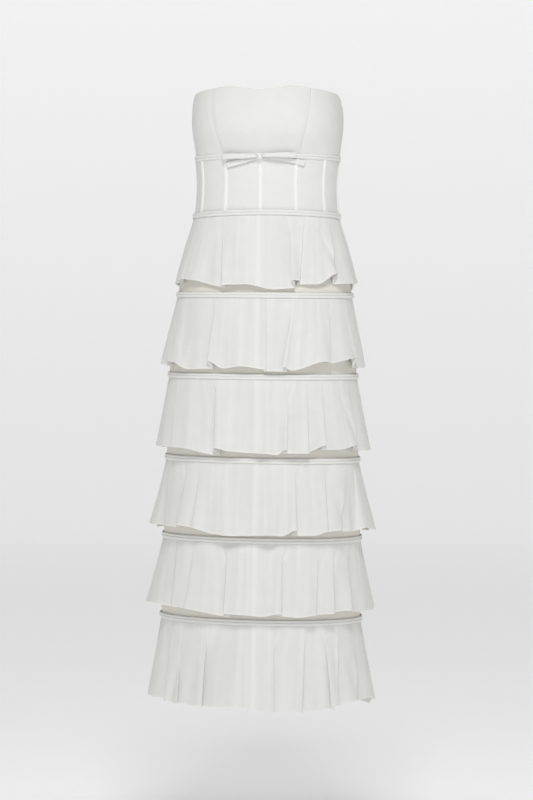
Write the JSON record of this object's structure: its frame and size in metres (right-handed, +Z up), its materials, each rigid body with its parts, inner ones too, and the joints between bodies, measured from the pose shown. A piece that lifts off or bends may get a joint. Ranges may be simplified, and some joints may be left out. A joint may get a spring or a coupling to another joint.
{
  "type": "tiered ruffle gown",
  "caption": "Strapless full-length gown, filled out and hollow, with a boned midriff, a flat bow, ribbon bands and flared flounces down the skirt.",
  "frame": {"origin": "centre of the ribbon band ring under the bust, where the wearer's torso holds the gown up", "axes": "+Z up along the body; the front faces -Y; +X is the wearer's left"},
  "size_m": [0.433, 0.3344, 1.1576],
  "materials": {
    "crepe": "matt woven crepe, off-white",
    "chiffon": "soft semi-sheer chiffon, off-white",
    "ribbon": "grosgrain ribbon with a low sheen, off-white",
    "zip_tape": "woven zip tape, off-white",
    "zip_metal": "white enamelled zip slider and pull"
  },
  "bodies": {
    "gown": {"bodice_centre_front": "crepe", "bodice_side_left": "crepe", "bodice_side_right": "crepe", "bodice_back_left": "crepe", "bodice_back_right": "crepe", "midriff_front": "crepe", "midriff_back_left": "crepe", "midriff_back_right": "crepe", "boning_channel_1": "crepe", "boning_channel_2": "crepe", "boning_channel_3": "crepe", "boning_channel_4": "crepe", "boning_channel_5": "crepe", "boning_channel_6": "crepe", "boning_channel_7": "crepe", "boning_channel_8": "crepe", "boning_channel_9": "crepe", "boning_channel_10": "crepe", "boning_channel_11": "crepe", "band_underbust": "ribbon", "band_waist": "ribbon", "band_tier_2": "ribbon", "band_tier_3": "ribbon", "band_tier_4": "ribbon", "band_tier_5": "ribbon", "band_tier_6": "ribbon", "skirt_hip_front": "crepe", "skirt_hip_back": "crepe", "skirt_upper_front": "crepe", "skirt_upper_back": "crepe", "skirt_middle_front": "crepe", "skirt_middle_back": "crepe", "skirt_lower_front": "crepe", "skirt_lower_back": "crepe", "flounce_1_front": "chiffon", "flounce_1_back_left": "chiffon", "flounce_1_back_right": "chiffon", "flounce_2_front": "chiffon", "flounce_2_back": "chiffon", "flounce_3_front": "chiffon", "flounce_3_back": "chiffon", "flounce_4_front": "chiffon", "flounce_4_back": "chiffon", "flounce_5_front": "chiffon", "flounce_5_back": "chiffon", "flounce_6_front": "chiffon", "flounce_6_back": "chiffon", "bow_knot": "ribbon", "bow_loop_left": "ribbon", "bow_loop_right": "ribbon", "bow_tail_left": "ribbon", "bow_tail_right": "ribbon", "zip_strip": "zip_tape", "zip_slider": "zip_metal"},
    "zip_pull": {"zip_pull": "zip_metal"}
  },
  "joints": [
    {"name": "zip_pull_hinge", "type": "hinge", "parent": "gown", "child": "zip_pull", "pos_m": [0, 0.10451, 0.05201], "axis": [1, 0, 0], "range_deg": [0, 160]}
  ]
}
